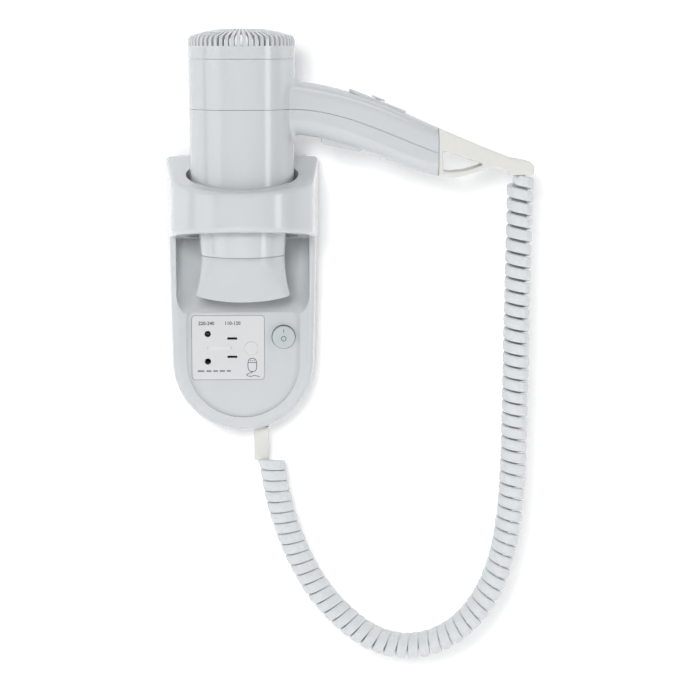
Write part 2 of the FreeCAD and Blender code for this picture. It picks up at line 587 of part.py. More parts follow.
def make_nozzle():
    solid = nozzle_block(0).cut(nozzle_block(1.6))
    # the lip is arched: lowest in the middle of the mouth
    rise = LIP_RISE
    radius = (MOUTH_HALF_X ** 2 + rise ** 2) / (2 * rise)
    keep = rod(radius, V(0, AXIS_Y - 50, MOUTH_Z + radius), V(0, AXIS_Y + 50, MOUTH_Z + radius))
    socket = upright(NECK_END_R - 0.85, NOZZLE_SEAM_Z - SPIGOT_DEEP - 0.5, NOZZLE_SEAM_Z + 3)
    save("nozzle", solid.common(keep).cut(socket))


# ---- inside the dryer ---------------------------------------------------------------------
def make_fan():
    hub = upright(10.0, 147.5, 157.0).cut(upright(1.5, 140, 160)).cut(tube(8.0, 4.0, 146, 154.5))
    blades = []
    for index in range(7):
        blade = box(9.0, 30.0, -0.6, 0.6, -6.0, 6.0)
        blade.rotate(V(20, 0, 0), V(1, 0, 0), 38)
        blade.rotate(V(0, 0, 0), V(0, 0, 1), 360.0 * index / 7)
        blade.translate(V(0, AXIS_Y, 152.2))
        blades.append(blade.common(tube(30.0, 9.0, 140, 165)))
    fan = hub.fuse(blades)
    save("fan_impeller", fan)
    save("motor_shaft", upright(1.5, 118.0, 158.5))


def make_motor():
    can = upright(13.8, 112.0, 143.0)
    can = can.makeFillet(2.0, edges_at(can, lambda e, m: abs(m.z - 112.0) < 0.01 and len(e.Vertexes) == 1))
    can = can.cut(upright(1.5 + RUNNING, 117.0, 150.0))
    save("motor", can)
    sleeve = tube(15.6, 13.8, 114.0, 141.0)
    outer = BARREL_LOW_R - SHELL
    vanes = []
    for index in range(6):
        vane = box(15.0, outer, -0.8, 0.8, 114.5, 125.5)
        vane.rotate(V(0, 0, 0), V(0, 0, 1), 30 + 60.0 * index)
        vane.translate(V(0, AXIS_Y, 0))
        vanes.append(vane)
    ring = tube(outer, outer - 1.5, 114.0, 126.0)
    save("motor_carrier", sleeve.fuse(vanes + [ring]))
    board = tube(12.5, 4.0, 108.4, 110.0)
    diodes = [rod(1.3, V(x, AXIS_Y - 3.5, 107.1), V(x, AXIS_Y + 3.5, 107.1)) for x in (-8.0, 8.0)]
    save("motor_board", board, *diodes)


def make_heater():
    shield_r = NECK_END_R - SHELL - 0.6
    save("heat_shield", tube(shield_r, shield_r - 0.5, 40.0, 100.0))
    arm = shield_r - 1.4
    cross = box(-arm, arm, AXIS_Y - 0.4, AXIS_Y + 0.4, 42.0, 98.0)
    other = box(-0.4, 0.4, AXIS_Y - arm, AXIS_Y + arm, 42.0, 98.0)
    frame = cross.fuse(other)
    coil_r, wire_r = arm - 3.0, 0.9
    turns = [48.0 + 6.0 * index for index in range(8)]
    rings = []
    for z in turns:
        ring = Part.makeTorus(coil_r, wire_r, V(0, AXIS_Y, z), V(0, 0, 1))
        rings.append(ring)
        frame = frame.cut(Part.makeTorus(coil_r, wire_r + 0.05, V(0, AXIS_Y, z), V(0, 0, 1)))
    save("heater_frame", frame)
    save("heating_coils", *rings)
    save("thermal_cutout", box(2.0, 12.0, AXIS_Y + 0.4, AXIS_Y + 4.4, 88.0, 95.5))
    fuse = rod(1.8, V(-12.5, AXIS_Y - 2.3, 91.5), V(-3.5, AXIS_Y - 2.3, 91.5))
    save("thermal_fuse", fuse)
    rim = tube(shield_r + 0.5, shield_r - 1.0, 35.0, 38.0)
    bars = [tube(radius, radius - 1.2, 35.0, 37.0) for radius in (20.0, 14.0, 8.0)]
    spokes = [box(-shield_r, shield_r, AXIS_Y - 0.7, AXIS_Y + 0.7, 35.0, 37.0),
              box(-0.7, 0.7, AXIS_Y - shield_r, AXIS_Y + shield_r, 35.0, 37.0)]
    save("outlet_grille", rim.fuse(bars + spokes))


# ---- switches in the handle ---------------------------------------------------------------
def make_slide_switch():
    long, wide = SWITCH_LONG / 2, SWITCH_WIDE / 2
    slot = 2.6 + KNOB_TRAVEL
    plate = rounded_plate(long, wide, -0.4, SWITCH_PROUD)
    plate = plate.makeFillet(0.7, edges_at(plate, lambda e, m: abs(m.z - SWITCH_PROUD) < 0.01))
    plate = plate.cut(box(-slot, slot, -2.4, 2.4, -5, 5))
    under = box(-17.5, 17.5, -4.9, 4.9, -4.0, -0.4).cut(box(-slot, slot, -2.4, 2.4, -6, 5))
    save("switch_plate", tilted(plate.fuse(under)))
    knob = box(-4.4, 4.4, -4.0, 4.0, SWITCH_PROUD + 0.3, SWITCH_PROUD + KNOB_PROUD)
    knob = knob.makeFillet(0.6, edges_at(knob, lambda e, m: m.z > SWITCH_PROUD + 0.4))
    for index in range(3):
        x = -2.0 + 2.0 * index
        knob = knob.cut(box(x - 0.4, x + 0.4, -5, 5, SWITCH_PROUD + KNOB_PROUD - 0.4, SWITCH_PROUD + 4))
    stem = box(-2.0, 2.0, -2.0, 2.0, -5.6, SWITCH_PROUD + 0.6)
    save("speed_slider", tilted(knob.fuse(stem)))
    body = box(-15.0, 15.0, -6.0, 6.0, -13.0, -4.4).cut(box(-slot, slot, -2.4, 2.4, -6.4, 0))
    save("speed_switch", tilted(body))


def make_trigger():
    pivot_x, pivot_z = TRIGGER_PIVOT
    low_left, low_right = 106.4, 101.5
    outline = [(TRIGGER_X0, 112.6), (TRIGGER_X0, low_left + 1.2), (TRIGGER_X0 + 1.4, low_left - 0.2),
               (pivot_x - 1.0, low_right), (TRIGGER_X1 - 0.8, low_right + 1.4), (TRIGGER_X1, 105.6),
               (pivot_x + 2.0, 109.6), (pivot_x - 2.0, 109.9), (TRIGGER_X0 + 6.0, 113.4)]
    half = TRIGGER_WIDE / 2
    body = prism_xz(outline, AXIS_Y - half, AXIS_Y + half)
    hole_r = TRIGGER_PIN_R + RUNNING
    body = body.cut(rod(hole_r, V(pivot_x, AXIS_Y - 20, pivot_z), V(pivot_x, AXIS_Y + 20, pivot_z)))
    save("run_trigger", body)
    reach = half + 1.6
    pin = rod(TRIGGER_PIN_R, V(pivot_x, AXIS_Y - reach, pivot_z), V(pivot_x, AXIS_Y + reach, pivot_z))
    save("trigger_pin", pin)
    ears = box(pivot_x - 3.0, pivot_x + 3.0, AXIS_Y - half - 2.2, AXIS_Y + half + 2.2, 104.6, 112.0)
    ears = ears.cut(box(0, 200, AXIS_Y - half - 0.4, AXIS_Y + half + 0.4, 90, 130))
    ears = ears.cut(rod(TRIGGER_PIN_R, V(pivot_x, AXIS_Y - 30, pivot_z), V(pivot_x, AXIS_Y + 30, pivot_z)))
    save("trigger_bracket", ears.common(handle_block(SHELL + 0.02)))
    spring = coil_spring(2.2, 0.3, 0.0, 6.0, 4)
    spring.translate(V(64.0, AXIS_Y, 113.3))
    save("trigger_spring", spring)
    save("micro_switch", box(53.5, 73.5, AXIS_Y - 5.0, AXIS_Y + 5.0, 119.8, 126.6))


def make_handle_screws():
    screws = []
    for x, z in HANDLE_SCREWS:
        screws.append(rod(2.4, V(x, AXIS_Y, z - 1.9), V(x, AXIS_Y, z - 0.1)))
    return screws


# ---- hanging boot -------------------------------------------------------------------------
def make_boot():
    top = [(BOOT_X, 117.4), (136.2, 114.8), (158.5, 105.4), (179.5, 97.2), (187.0, 95.9), (191.6, 94.9)]
    tip = [(194.4, 92.4), (195.1, 89.0), (194.6, 85.6), (178.6, 85.6)]
    under = [(177.0, 88.3), (168.0, 91.0), (159.2, 88.9), (148.7, 85.5), (140.1, 84.4), (BOOT_X, 84.8)]
    outline = top + tip + under
    body = prism_xz(outline, AXIS_Y - 20, AXIS_Y + 20)
    plan = [(BOOT_X, 13.5), (148.0, 12.0), (168.0, 9.8), (182.0, 8.6), (192.0, 8.2), (196.0, 6.4)]
    mirrored = [(x, -h) for x, h in reversed(plan)]
    corners = [V(x, AXIS_Y + h, 60) for x, h in plan + mirrored]
    taper = Part.Face(Part.makePolygon(corners + corners[:1])).extrude(V(0, 0, 80))
    body = body.common(taper)
    gap = [(133.0, 101.6), (137.0, 101.4), (148.7, 97.0), (160.4, 93.3), (159.0, 92.2), (148.7, 89.2),
           (140.0, 88.2), (133.4, 88.6)]
    body = body.cut(prism_xz(gap, AXIS_Y - 30, AXIS_Y + 30))
    plug = handle_block(SHELL + 0.2).common(box(BOOT_X - 9.0, HANDLE_END_X + 1, -100, 0, 60, 140))
    plug.translate(V(BOOT_X + 0.05 - HANDLE_END_X, 0, 0))
    save("hanging_boot", body.fuse(plug))


# ---- curly cord ---------------------------------------------------------------------------
def rounded_path(points):
    """Straight runs joined by arcs as large as the runs allow; returns the wire, length and radii."""
    points = [V(*p) for p in points]
    edges, radii, here = [], [], points[0]
    for before, corner, after in zip(points, points[1:], points[2:]):
        run_in, run_out = corner - before, after - corner
        half_turn = run_in.getAngle(run_out) / 2
        cut_back = 0.45 * min(run_in.Length, run_out.Length)
        radius = cut_back / math.tan(half_turn)
        into, out = V(run_in).normalize(), V(run_out).normalize()
        start, end = corner - into * cut_back, corner + out * cut_back
        middle_way = (out - into).normalize()
        middle = corner + middle_way * (radius / math.cos(half_turn) - radius)
        edges += [Part.makeLine(here, start), Part.Arc(start, middle, end).toShape()]
        radii.append(radius)
        here = end
    edges.append(Part.makeLine(here, points[-1]))
    wire = Part.Wire(edges)
    return wire, wire.Length, radii


def make_cord():
    wire, length, radii = rounded_path(CORD_ROUTE)
    first = V(*CORD_ROUTE[1]) - V(*CORD_ROUTE[0])
    ring = Part.Wire(Part.makeCircle(COIL_R, V(*CORD_ROUTE[0]), first))
    solid = wire.makePipeShell([ring], True, False)
    save("curly_cord", solid)
    section = math.pi * COIL_R ** 2
    print("coil route", round(length, 1), "mm; radii", [round(r) for r in radii])
    print("volume / (section x length)", round(solid.Volume / (section * length), 4))


def main():
    os.makedirs(PARTS_FOLDER, exist_ok=True)
    make_holder_shell()
    make_wall_plate()
    save("wall_screws", *make_wall_screws())
    make_socket()
    make_power_button()
    make_holder_inside()
    make_cord_sleeve()
    make_cradle()
    make_casing()
    make_intake_cap()
    make_filter()
    make_nozzle()
    make_fan()
    make_motor()
    make_heater()
    make_slide_switch()
    make_trigger()
    save("handle_screws", *make_handle_screws())
    make_boot()
    make_cord()


if __name__ == "__main__":
    main()
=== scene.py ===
"""Looks of a wall hair dryer: its finishes, its curly cord, its prints and the studio around it.

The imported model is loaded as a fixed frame, in metres. Each sub-assembly is a class that holds its
sizes, builds the pieces that the frame leaves plain, and dresses its nodes.
"""

import logging
import math
from dataclasses import dataclass, field
from enum import Enum

import bmesh
import bpy
from mathutils import Matrix, Vector


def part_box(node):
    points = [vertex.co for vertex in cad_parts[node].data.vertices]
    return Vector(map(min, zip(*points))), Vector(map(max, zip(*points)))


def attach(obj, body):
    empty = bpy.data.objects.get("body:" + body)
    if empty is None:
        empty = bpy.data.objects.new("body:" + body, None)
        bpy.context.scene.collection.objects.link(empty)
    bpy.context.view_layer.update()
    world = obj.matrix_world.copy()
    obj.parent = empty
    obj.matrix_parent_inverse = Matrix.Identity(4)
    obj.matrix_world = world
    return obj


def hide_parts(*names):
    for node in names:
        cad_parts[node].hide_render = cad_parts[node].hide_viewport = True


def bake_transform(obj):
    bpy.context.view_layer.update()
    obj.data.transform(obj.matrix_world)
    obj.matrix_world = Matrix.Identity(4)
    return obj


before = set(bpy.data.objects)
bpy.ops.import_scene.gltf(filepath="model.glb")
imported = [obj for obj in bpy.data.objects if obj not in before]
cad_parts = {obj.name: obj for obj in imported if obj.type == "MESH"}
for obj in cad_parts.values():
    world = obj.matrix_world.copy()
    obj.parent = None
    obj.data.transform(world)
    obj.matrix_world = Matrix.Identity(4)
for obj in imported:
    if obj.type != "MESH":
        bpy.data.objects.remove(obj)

LOG = logging.getLogger("wall_dryer")
CREASE = math.radians(32)


class Body(Enum):
    """The moving bodies that a piece can ride on."""

    HOLDER = "holder"
    DRYER = "dryer"
    BUTTON = "power_button"
    NOZZLE = "nozzle"


class Value:
    """A number that changes over a surface. Arithmetic on it adds the Math nodes."""

    def __init__(self, graph: "Graph", socket: bpy.types.NodeSocket) -> None:
        """Wraps a socket.

        Args:
            graph: The material's graph.
            socket: The output that carries the number.
        """
        self.graph = graph
        self.socket = socket

    def _math(self, operation: str, first: object, second: object = 0.0) -> "Value":
        """Adds one Math node and returns its result."""
        node = self.graph.node("ShaderNodeMath", {"operation": operation}, {0: first, 1: second})
        return Value(self.graph, node.outputs[0])

    def __add__(self, other: object) -> "Value":
        """self + other."""
        return self._math("ADD", self, other)

    def __radd__(self, other: object) -> "Value":
        """other + self."""
        return self._math("ADD", other, self)

    def __sub__(self, other: object) -> "Value":
        """self - other."""
        return self._math("SUBTRACT", self, other)

    def __rsub__(self, other: object) -> "Value":
        """other - self."""
        return self._math("SUBTRACT", other, self)

    def __mul__(self, other: object) -> "Value":
        """self * other."""
        return self._math("MULTIPLY", self, other)

    def __pow__(self, other: object) -> "Value":
        """self ** other."""
        return self._math("POWER", self, other)

    def __gt__(self, other: object) -> "Value":
        """1 where self is greater than other, else 0."""
        return self._math("GREATER_THAN", self, other)

    def __abs__(self) -> "Value":
        """The size of the number without its sign."""
        return self._math("ABSOLUTE", self)

    def sine(self) -> "Value":
        """The sine of the number, in radians."""
        return self._math("SINE", self)


class Graph:
    """A material's nodes around one Principled shader."""

    def __init__(self, name: str) -> None:
        """Starts an empty material.

        Args:
            name: The material's name.
        """
        self.material = bpy.data.materials.new(name)
        self.material.use_nodes = True
        self.tree = self.material.node_tree
        self.tree.nodes.clear()
        self.place = self.node("ShaderNodeTexCoord").outputs["Object"]
        self.shader = self.node("ShaderNodeBsdfPrincipled")
        self.node("ShaderNodeOutputMaterial", inputs={"Surface": self.shader.outputs[0]})

    def node(self, kind: str, settings: dict | None = None,
             inputs: dict | None = None) -> bpy.types.Node:
        """Adds a node, gives it its settings, then fills its sockets.

        Args:
            kind: The node's type.
            settings: Its properties.
            inputs: Values, sockets or Values for its inputs, by name or number.

        Returns:
            The new node.
        """
        made = self.tree.nodes.new(kind)
        for key, value in (settings or {}).items():
            setattr(made, key, value)
        for key, value in (inputs or {}).items():
            self.feed(made.inputs[key], value)
        return made

    def feed(self, socket: bpy.types.NodeSocket, value: object) -> None:
        """Links a socket or Value to an input, or sets the input to a plain number or colour."""
        if isinstance(value, Value):
            value = value.socket
        if isinstance(value, bpy.types.NodeSocket):
            self.tree.links.new(value, socket)
        else:
            socket.default_value = value

    def axis(self, number: int) -> Value:
        """One coordinate of the place on the object, in metres."""
        return Value(self, self.node("ShaderNodeSeparateXYZ", inputs={0: self.place}).outputs[number])

    def noise(self, size: float, detail: float = 2.0, stretch: tuple = (1.0, 1.0, 1.0)) -> Value:
        """Soft noise from 0 to 1.

        Args:
            size: The size of one patch, in metres.
            detail: How many finer layers it has.
            stretch: How far the pattern is drawn out along each axis.

        Returns:
            The noise.
        """
        drawn = self.node("ShaderNodeMapping", inputs={
            0: self.place, "Scale": [1 / s for s in stretch]})
        made = self.node("ShaderNodeTexNoise", inputs={
            "Vector": drawn.outputs[0], "Scale": 1 / size, "Detail": detail})
        return Value(self, made.outputs[0])

    def tint(self, amount: Value, low: tuple, high: tuple) -> bpy.types.NodeSocket:
        """A colour between two colours.

        Args:
            amount: How much of the second colour there is, from 0 to 1.
            low: The colour at 0.
            high: The colour at 1.

        Returns:
            The colour's socket.
        """
        made = self.node("ShaderNodeMix", {"data_type": "RGBA"}, {
            0: amount, 6: (*low, 1.0), 7: (*high, 1.0)})
        return made.outputs[2]

    def relief(self, height: Value, depth: float) -> None:
        """Gives the shader a bump.

        Args:
            height: The height, from 0 to 1.
            depth: The real depth from 0 to 1, in metres.
        """
        bump = self.node("ShaderNodeBump", inputs={
            "Strength": 1.0, "Distance": depth, "Height": height})
        self.feed(self.shader.inputs["Normal"], bump.outputs[0])

    def surface(self, **values: object) -> None:
        """Sets or links the shader's sockets, named with underscores for spaces."""
        for key, value in values.items():
            self.feed(self.shader.inputs[key.replace("_", " ")], value)


@dataclass(frozen=True)
class MouldedPlastic:
    """Injection moulded plastic: faint flow in its colour, a fine skin, and an uneven polish."""

    name: str
    colour: tuple = (0.575, 0.60, 0.62)
    shade: float = 0.965
    roughness: float = 0.17
    polish: float = 0.05
    coat: float = 0.35
    grain: float = 0.0016
    grain_depth: float = 0.000004

    def material(self) -> bpy.types.Material:
        """Builds the material."""
        graph = Graph(self.name)
        flow = graph.noise(0.045, 3.0, (1.0, 1.0, 2.2))
        skin = graph.noise(self.grain, 3.0)
        darker = tuple(c * self.shade for c in self.colour)
        graph.surface(
            Base_Color=graph.tint(flow, darker, self.colour),
            Roughness=self.roughness + (flow - 0.5) * self.polish + (skin - 0.5) * self.polish,
            Coat_Weight=self.coat,
            Coat_Roughness=0.08,
        )
        graph.relief(skin, self.grain_depth)
        return graph.material


@dataclass(frozen=True)
class SparkPlastic:
    """Plastic with the fine matt texture that spark erosion leaves in a mould."""

    name: str
    colour: tuple
    roughness: float = 0.42
    grain: float = 0.00045
    depth: float = 0.00003

    def material(self) -> bpy.types.Material:
        """Builds the material."""
        graph = Graph(self.name)
        pits = graph.noise(self.grain, 4.0)
        wear = graph.noise(0.012, 3.0)
        darker = tuple(c * 0.93 for c in self.colour)
        graph.surface(
            Base_Color=graph.tint(wear, darker, self.colour),
            Roughness=self.roughness + (wear - 0.5) * 0.12,
        )
        graph.relief(pits, self.depth)
        return graph.material


@dataclass(frozen=True)
class Metal:
    """Drawn, turned or stamped metal with fine lines along one axis and a little tarnish."""

    name: str
    colour: tuple
    tarnish: tuple
    roughness: float = 0.3
    lines: tuple = (1.0, 1.0, 14.0)

    def material(self) -> bpy.types.Material:
        """Builds the material."""
        graph = Graph(self.name)
        drawn = graph.noise(0.0004, 2.0, self.lines)
        patches = graph.noise(0.006, 4.0)
        graph.surface(
            Base_Color=graph.tint(patches ** 2.0, self.colour, self.tarnish),
            Metallic=1.0,
            Roughness=self.roughness + (drawn - 0.5) * 0.16 + (patches - 0.5) * 0.1,
        )
        graph.relief(drawn, 0.00001)
        return graph.material


@dataclass(frozen=True)
class Laminated:
    """Stacked thin sheets, such as transformer iron or mica, seen as fine lines across one axis."""

    name: str
    light: tuple
    dark: tuple
    pitch: float = 0.0005
    axis: int = 1
    metallic: float = 0.0
    roughness: float = 0.5

    def material(self) -> bpy.types.Material:
        """Builds the material."""
        graph = Graph(self.name)
        sheets = (graph.axis(self.axis) * (2 * math.pi / self.pitch)).sine() * 0.5 + 0.5
        patches = graph.noise(0.004, 4.0)
        graph.surface(
            Base_Color=graph.tint(sheets * 0.45 + patches * 0.55, self.dark, self.light),
            Metallic=self.metallic,
            Roughness=self.roughness + (patches - 0.5) * 0.2,
        )
        graph.relief(sheets, 0.00004)
        return graph.material


@dataclass(frozen=True)
class WireGauze:
    """Fine woven wire: a square weave whose wires stand over and under each other."""

    name: str
    wire: tuple = (0.34, 0.34, 0.33)
    gap: tuple = (0.03, 0.03, 0.03)
    pitch: float = 0.0011

    def material(self) -> bpy.types.Material:
        """Builds the material."""
        graph = Graph(self.name)
        turn = math.pi / self.pitch
        weave = abs((graph.axis(0) * turn).sine()) * abs((graph.axis(1) * turn).sine())
        graph.surface(
            Base_Color=graph.tint(weave, self.wire, self.gap),
            Metallic=0.6,
            Roughness=0.35 + weave * 0.4,
        )
        graph.relief(1 - weave, 0.0002)
        return graph.material


@dataclass(frozen=True)
class BoardLacquer:
    """Green lacquer over fibreglass, with copper tracks showing faintly through it."""

    name: str
    lacquer: tuple = (0.02, 0.14, 0.05)
    track: tuple = (0.05, 0.27, 0.10)
    pitch: float = 0.0032

    def material(self) -> bpy.types.Material:
        """Builds the material."""
        graph = Graph(self.name)
        bend = graph.noise(0.009, 1.0) * 5.0
        tracks = (graph.axis(0) * (2 * math.pi / self.pitch) + bend).sine() > 0.35
        graph.surface(
            Base_Color=graph.tint(tracks, self.lacquer, self.track),
            Roughness=0.28 + tracks * 0.08,
        )
        graph.relief(tracks, 0.00003)
        return graph.material


@dataclass(frozen=True)
class Vinyl:
    """Soft vinyl on cords, sleeves and boots: a slightly waxy skin with a fine grain and soft patches
    in its tone.
    """

    name: str
    colour: tuple = (0.64, 0.65, 0.655)
    roughness: float = 0.34
    subsurface: float = 0.06
    grain: float = 0.0009

    def material(self) -> bpy.types.Material:
        """Builds the material."""
        graph = Graph(self.name)
        skin = graph.noise(self.grain, 3.0)
        bloom = graph.noise(0.011, 3.0)
        duller = tuple(c * 0.95 for c in self.colour)
        graph.surface(
            Base_Color=graph.tint(bloom, duller, self.colour),
            Roughness=self.roughness + (bloom - 0.5) * 0.12,
            Subsurface_Weight=self.subsurface,
            Subsurface_Radius=(0.002, 0.002, 0.002),
            Subsurface_Scale=1.0,
        )
        graph.relief(skin, 0.00002)
        return graph.material


@dataclass(frozen=True)
class Ink:
    """Pad printed ink, a little thin in places."""

    name: str
    colour: tuple = (0.035, 0.037, 0.04)
    thin: tuple = (0.10, 0.105, 0.11)

    def material(self) -> bpy.types.Material:
        """Builds the material."""
        graph = Graph(self.name)
        patches = graph.noise(0.0006, 3.0)
        graph.surface(Base_Color=graph.tint(patches, self.colour, self.thin),
                      Roughness=0.5 + patches * 0.1)
        return graph.material


class Palette:
    """Makes each finish's material once and hands it out."""

    def __init__(self) -> None:
        """Starts with no material made."""
        self.made: dict[str, bpy.types.Material] = {}

    def material(self, finish: object) -> bpy.types.Material:
        """The finish's material, made on first use."""
        if finish.name not in self.made:
            self.made[finish.name] = finish.material()
        return self.made[finish.name]

    def dress(self, nodes: dict[str, object]) -> None:
        """Gives CAD nodes their finishes.

        Args:
            nodes: A finish for each node's name.
        """
        for name, finish in nodes.items():
            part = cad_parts[name]
            for slot in part.material_slots:
                slot.material = self.material(finish)
            LOG.info("%s wears %s", name, finish.name)


WHITE_ABS = MouldedPlastic("white_abs_gloss")
NOZZLE_ABS = MouldedPlastic("nozzle_gloss", colour=(0.545, 0.57, 0.59), roughness=0.3, polish=0.02,
                            grain_depth=0.0000005)
PLATE_ABS = MouldedPlastic("wall_plate_satin", colour=(0.55, 0.56, 0.57), roughness=0.45, coat=0.0)
SOCKET_ABS = MouldedPlastic("socket_satin", colour=(0.66, 0.67, 0.68), roughness=0.33, coat=0.1)
BUTTON_ABS = MouldedPlastic("button_satin", colour=(0.52, 0.56, 0.56), roughness=0.3, coat=0.2)
CONTROL_ABS = MouldedPlastic("control_satin", colour=(0.60, 0.62, 0.64), roughness=0.3, coat=0.15)
GREY_ABS = SparkPlastic("grey_spark", (0.30, 0.31, 0.32))
BLACK_ABS = SparkPlastic("black_spark", (0.022, 0.022, 0.024))
SOFT_PVC = Vinyl("soft_vinyl", colour=(0.70, 0.695, 0.665), roughness=0.36)
PAD_PVC = Vinyl("pad_vinyl", colour=(0.55, 0.55, 0.545), roughness=0.5)
CORD_PVC = Vinyl("cord_vinyl", colour=(0.66, 0.685, 0.70), roughness=0.27)
STEEL = Metal("bright_steel", (0.58, 0.58, 0.58), (0.42, 0.41, 0.40))
SPRING = Metal("spring_wire", (0.50, 0.50, 0.51), (0.36, 0.36, 0.36), roughness=0.25)
MOTOR_STEEL = Metal("plated_motor_can", (0.62, 0.61, 0.58), (0.45, 0.44, 0.41), roughness=0.26)
BRASS = Metal("contact_brass", (0.78, 0.56, 0.25), (0.42, 0.27, 0.11))
NICHROME = Metal("heater_wire", (0.42, 0.39, 0.37), (0.20, 0.16, 0.16), roughness=0.42)
CORE = Laminated("core_laminations", (0.34, 0.34, 0.36), (0.09, 0.09, 0.10), metallic=0.8,
                 roughness=0.4)
TAPE = Laminated("winding_tape", (0.72, 0.55, 0.12), (0.52, 0.38, 0.06), pitch=0.004, axis=2,
                 roughness=0.35)
MICA = Laminated("mica_sheet", (0.62, 0.54, 0.40), (0.38, 0.31, 0.22), pitch=0.0016, axis=2,
                 roughness=0.4)
GAUZE = WireGauze("filter_gauze")
BOARD = BoardLacquer("board_lacquer")
PRINT_INK = Ink("print_ink")
PALE_INK = Ink("pale_ink", (0.30, 0.31, 0.32), (0.38, 0.39, 0.40))
DASH_INK = Ink("dash_ink", (0.16, 0.165, 0.17), (0.24, 0.245, 0.25))
WHITE_INK = Ink("white_ink", (0.70, 0.71, 0.715), (0.67, 0.68, 0.685))


def finish_mesh(name: str, shape: bmesh.types.BMesh, material: bpy.types.Material,
                crease: float = CREASE) -> bpy.types.Object:
    """Turns a bmesh into an object at the origin, with outward faces and soft shading.

    Args:
        name: The piece's name.
        shape: The mesh, which is freed.
        material: Its material.
        crease: Edges sharper than this stay hard, in radians.

    Returns:
        The linked object.
    """
    bmesh.ops.remove_doubles(shape, verts=shape.verts, dist=1e-7)
    bmesh.ops.recalc_face_normals(shape, faces=shape.faces)
    mesh = bpy.data.meshes.new(name)
    shape.to_mesh(mesh)
    shape.free()
    mesh.materials.append(material)
    mesh.shade_smooth()
    mesh.set_sharp_from_angle(angle=crease)
    made = bpy.data.objects.new(name, mesh)
    bpy.context.scene.collection.objects.link(made)
    return made


@dataclass(frozen=True)
class Lamp:
    """One rectangular soft light that looks at the object, in metres and watts."""

    name: str
    place: tuple
    size: tuple
    power: float
    mirrored: bool = True
    aim: tuple = (0.03, -0.05, 0.0)

    def build(self) -> None:
        """Adds the lamp to the scene."""
        data = bpy.data.lights.new(self.name, "AREA")
        data.shape = "RECTANGLE"
        data.size, data.size_y = self.size
        data.energy = self.power
        lamp = bpy.data.objects.new(self.name, data)
        lamp.location = self.place
        towards = Vector(self.aim) - Vector(self.place)
        lamp.rotation_euler = towards.to_track_quat("-Z", "Y").to_euler()
        lamp.visible_glossy = self.mirrored
        bpy.context.scene.collection.objects.link(lamp)


@dataclass
class Studio:
    """The camera, the wall and floor, and the soft lights, in metres and degrees."""

    eye: tuple = (0.0, -1.531, 0.175)
    pitch: float = 8.02
    yaw: float = 2.8
    lens: float = 113.14
    sensor: float = 36.0
    clip: tuple = (0.01, 50.0)
    wall_behind: float = 0.001
    floor_height: float = -0.31
    reach: float = 2.4
    glow: float = 0.11
    room_colour: tuple = (0.93, 0.965, 1.0, 1.0)
    room_strength: float = 0.06
    lamps: tuple = (
        Lamp("key_lamp", (-0.20, -1.70, 0.45), (0.36, 0.36), 14.5, mirrored=False),
        Lamp("left_softbox", (-1.10, -0.60, 0.1), (0.75, 1.5), 4.2),
        Lamp("right_softbox", (1.02, -0.70, 0.1), (0.26, 1.5), 3.6),
        Lamp("top_softbox", (0.1, -0.55, 1.2), (1.3, 0.4), 3.4),
    )

    def camera(self) -> None:
        """Places the camera."""
        data = bpy.data.cameras.new("camera")
        data.sensor_width = self.sensor
        data.lens = self.lens
        data.clip_start, data.clip_end = self.clip
        camera = bpy.data.objects.new("camera", data)
        camera.location = self.eye
        camera.rotation_euler = (math.radians(90 - self.pitch), 0.0, -math.radians(self.yaw))
        bpy.context.scene.collection.objects.link(camera)
        bpy.context.scene.camera = camera

    def _paint(self) -> bpy.types.Material:
        """Matt white paint that can't be seen from behind."""
        graph = Graph("studio_paint")
        mottle = graph.noise(0.5, 2.0)
        graph.surface(Base_Color=graph.tint(mottle, (0.93, 0.93, 0.93), (0.95, 0.95, 0.95)),
                      Roughness=0.9)
        graph.shader.inputs["Specular IOR Level"].default_value = 0.0
        graph.shader.inputs["Emission Color"].default_value = (1.0, 1.0, 1.0, 1.0)
        graph.shader.inputs["Emission Strength"].default_value = self.glow
        back = graph.node("ShaderNodeNewGeometry").outputs["Backfacing"]
        clear = graph.node("ShaderNodeBsdfTransparent")
        mixed = graph.node("ShaderNodeMixShader", inputs={
            0: back, 1: graph.shader.outputs[0], 2: clear.outputs[0]})
        graph.node("ShaderNodeOutputMaterial", {"is_active_output": True}, {0: mixed.outputs[0]})
        return graph.material

    def _panel(self, name: str, turn: Matrix, paint: bpy.types.Material) -> None:
        """Makes one flat backdrop from a grid, turned and moved in its mesh."""
        shape = bmesh.new()
        bmesh.ops.create_grid(shape, x_segments=1, y_segments=1, size=self.reach)
        bmesh.ops.transform(shape, matrix=turn, verts=shape.verts)
        mesh = bpy.data.meshes.new(name)
        shape.to_mesh(mesh)
        shape.free()
        mesh.materials.append(paint)
        panel = bpy.data.objects.new(name, mesh)
        panel.visible_shadow = False
        bpy.context.scene.collection.objects.link(panel)

    def backdrop(self) -> None:
        """Makes the wall that the holder hangs on, and the floor below it."""
        paint = self._paint()
        wall = Matrix.Translation((0, self.wall_behind, self.floor_height + self.reach))
        self._panel("wall", wall @ Matrix.Rotation(math.radians(90), 4, "X"), paint)
        floor = Matrix.Translation((0, self.wall_behind - self.reach, self.floor_height))
        self._panel("floor", floor, paint)

    def lights(self) -> None:
        """Sets up the lamps and the even light of the room."""
        for lamp in self.lamps:
            lamp.build()
        world = bpy.data.worlds.new("room")
        world.use_nodes = True
        background = world.node_tree.nodes["Background"]
        background.inputs["Color"].default_value = self.room_colour
        background.inputs["Strength"].default_value = self.room_strength
        bpy.context.scene.world = world
        bpy.context.scene.view_settings.view_transform = "Standard"

    def build(self) -> None:
        """Builds the whole studio."""
        self.camera()
        self.backdrop()
        self.lights()


